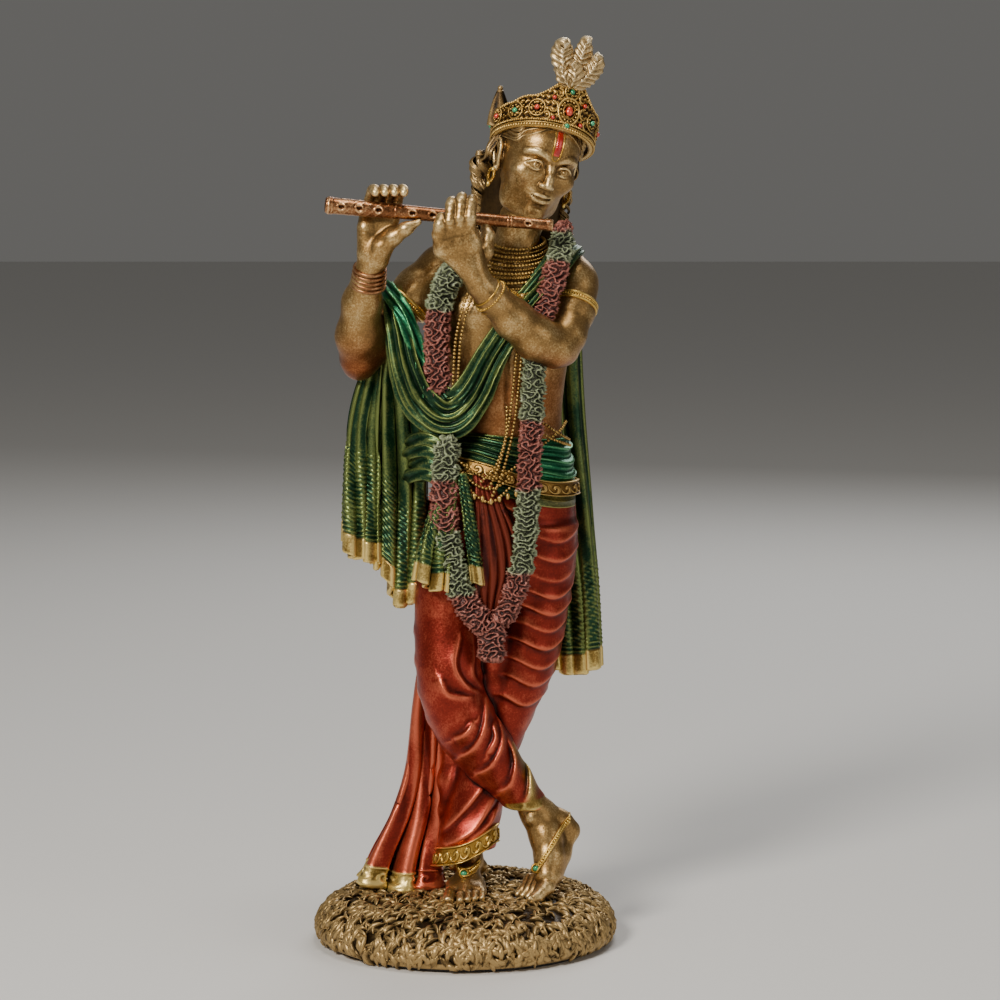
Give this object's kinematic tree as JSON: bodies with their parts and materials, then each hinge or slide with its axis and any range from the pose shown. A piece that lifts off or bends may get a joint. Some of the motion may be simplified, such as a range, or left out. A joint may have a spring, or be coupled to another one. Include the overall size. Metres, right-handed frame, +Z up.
{
  "type": "flute player figurine",
  "caption": "Standing deity figurine playing a flute, legs crossed, in crown, garland, shawl and dhoti, on a round grassy mound.",
  "frame": {"origin": "centre of the base's underside", "axes": "+Z up, -Y the way the figure faces, +X to the left hand of the figure"},
  "size_m": [0.108, 0.112, 0.3277],
  "materials": {
    "skin_bronze": "antiqued bronze-gold metallic paint, semi-gloss",
    "mound_bronze": "antiqued bronze paint over carved leaves, satin",
    "dhoti_red": "metallic red glaze over gold, semi-gloss",
    "cloth_green": "metallic green glaze with gold wear, semi-gloss",
    "hem_gold": "bright antique gold paint",
    "jewellery_gold": "antique gold paint, dark in the recesses",
    "gem_paint": "glossy gem paint",
    "garland_petals": "dusty rose and sage petals, satin",
    "hair_bronze": "dark antique bronze paint",
    "flute_copper": "rose-copper metallic paint",
    "plume_gold": "pale champagne gold paint",
    "felt": "felt",
    "steel": "plain drawn rod"
  },
  "bodies": {
    "root": {"felt_pad": "felt", "base_mound": "mound_bronze", "leg_rods": "steel", "left_foot": "skin_bronze", "right_foot": "skin_bronze", "left_anklet": "jewellery_gold", "right_anklet": "jewellery_gold", "dhoti_hips": "dhoti_red", "dhoti_left_leg": "dhoti_red", "dhoti_right_leg": "dhoti_red", "dhoti_front_pleats": "dhoti_red", "dhoti_tail": "dhoti_red", "dhoti_hem_band": "hem_gold", "torso": "skin_bronze", "neck_dowel": "steel", "shoulder_dowels": "steel", "head": "skin_bronze", "hair": "hair_bronze", "earrings": "jewellery_gold", "crown_band": "jewellery_gold", "crown_crest": "jewellery_gold", "crown_gems": "gem_paint", "crown_side_peak": "jewellery_gold", "feather_plume": "plume_gold", "plume_pin": "steel", "right_upper_arm": "skin_bronze", "right_forearm": "skin_bronze", "right_hand": "skin_bronze", "left_upper_arm": "skin_bronze", "left_forearm": "skin_bronze", "left_hand": "skin_bronze", "flute": "flute_copper", "right_bangles": "flute_copper", "left_bracelet": "jewellery_gold", "right_armlet": "jewellery_gold", "left_armlet": "jewellery_gold", "collar_necklace": "jewellery_gold", "pendant": "jewellery_gold", "bead_strings": "jewellery_gold", "garland_left_upper": "garland_petals", "garland_left_lower": "garland_petals", "garland_right": "garland_petals", "garland_tassel": "garland_petals", "shawl_swag": "cloth_green", "shawl_side_outer": "cloth_green", "shawl_side_inner": "cloth_green", "shawl_back_panel": "cloth_green", "waist_sash": "cloth_green", "sash_tail_wide": "cloth_green", "sash_tail_narrow": "cloth_green", "hip_belt": "jewellery_gold"}
  },
  "joints": []
}
